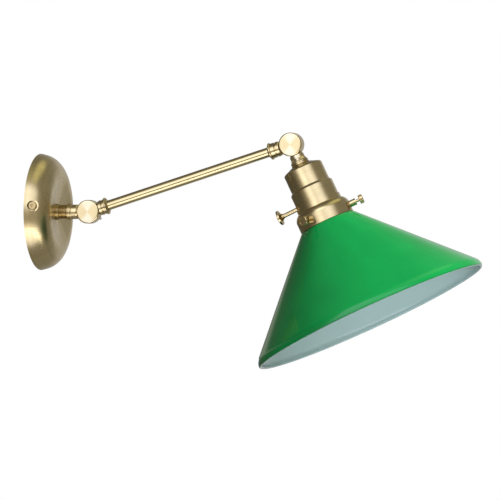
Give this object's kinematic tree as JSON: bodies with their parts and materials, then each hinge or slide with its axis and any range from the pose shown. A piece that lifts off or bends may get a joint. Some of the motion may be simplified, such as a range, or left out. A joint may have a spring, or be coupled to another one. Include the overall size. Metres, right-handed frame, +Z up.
{
  "type": "gooseneck wall sconce",
  "caption": "Wall light with a round dished wall plate, a straight brass arm between two swivel knuckles and a cone glass shade on a keyed lamp socket.",
  "frame": {"origin": "centre of the wall plate's back, on the wall, midway between the two wall bolts", "axes": "+X out of the wall along the plate's axis, +Z up; both swivel pins lie along Y"},
  "size_m": [0.4714, 0.254, 0.2454],
  "materials": {
    "satin_brass": "satin",
    "polished_brass": "polished",
    "plain_steel": "zinc plated",
    "green_screw": "green lacquer",
    "porcelain": "glazed",
    "liner_card": "fibre",
    "washer_fibre": "fibre",
    "green_opal_glass": "gloss"
  },
  "bodies": {
    "wall_mount": {"canopy": "satin_brass", "mounting_bracket": "plain_steel", "side_screws": "polished_brass", "ground_screw": "green_screw", "threaded_nipple": "plain_steel", "nipple_lock_nut": "plain_steel", "nipple_lock_washer": "plain_steel", "nipple_base_ring": "polished_brass", "stem_sleeve": "satin_brass", "wall_knuckle": "satin_brass", "wall_hinge_screw": "polished_brass", "wall_friction_washer": "washer_fibre"},
    "arm": {"arm_lower_knuckle": "satin_brass", "tension_screw": "plain_steel", "lower_collar": "polished_brass", "arm_tube": "polished_brass", "upper_collar": "polished_brass", "arm_upper_knuckle": "satin_brass"},
    "shade_head": {"shade_knuckle": "satin_brass", "shade_hinge_screw": "polished_brass", "shade_friction_washer": "washer_fibre", "neck_lock_ring": "polished_brass", "socket_cap": "polished_brass", "cap_lock_nut": "plain_steel", "socket_shell": "polished_brass", "insulating_liner": "liner_card", "socket_insert": "porcelain", "screw_shell": "polished_brass", "centre_contact": "polished_brass", "terminal_screws": "polished_brass", "shade_holder": "polished_brass", "glass_shade": "green_opal_glass"},
    "switch_key": {"switch_knob": "polished_brass"},
    "thumb_1": {"thumb_screw_1": "polished_brass"},
    "thumb_2": {"thumb_screw_2": "polished_brass"},
    "thumb_3": {"thumb_screw_3": "polished_brass"}
  },
  "joints": [
    {"name": "wall_tilt", "type": "hinge", "parent": "wall_mount", "child": "arm", "pos_m": [0.0525, 0, 0], "axis": [0, -1, 0], "range_deg": [-50, 55]},
    {"name": "shade_tilt", "type": "hinge", "parent": "arm", "child": "shade_head", "pos_m": [0.27205, 0, 0.06922], "axis": [0, -1, 0], "range_deg": [-25, 90]},
    {"name": "switch_turn", "type": "hinge", "parent": "shade_head", "child": "switch_key", "pos_m": [0.29934, 0, 0.012], "axis": [-0.9026, 0, -0.4305], "continuous": true},
    {"name": "thumb_1_travel", "type": "slide", "parent": "shade_head", "child": "thumb_1", "axis": [0.8829, 0.2079, 0.4211], "range_m": [0, 0.006]},
    {"name": "thumb_2_travel", "type": "slide", "parent": "shade_head", "child": "thumb_2", "axis": [-0.2789, -0.9511, -0.133], "range_m": [0, 0.006]},
    {"name": "thumb_3_travel", "type": "slide", "parent": "shade_head", "child": "thumb_3", "axis": [-0.6039, 0.7431, -0.2881], "range_m": [0, 0.006]}
  ]
}
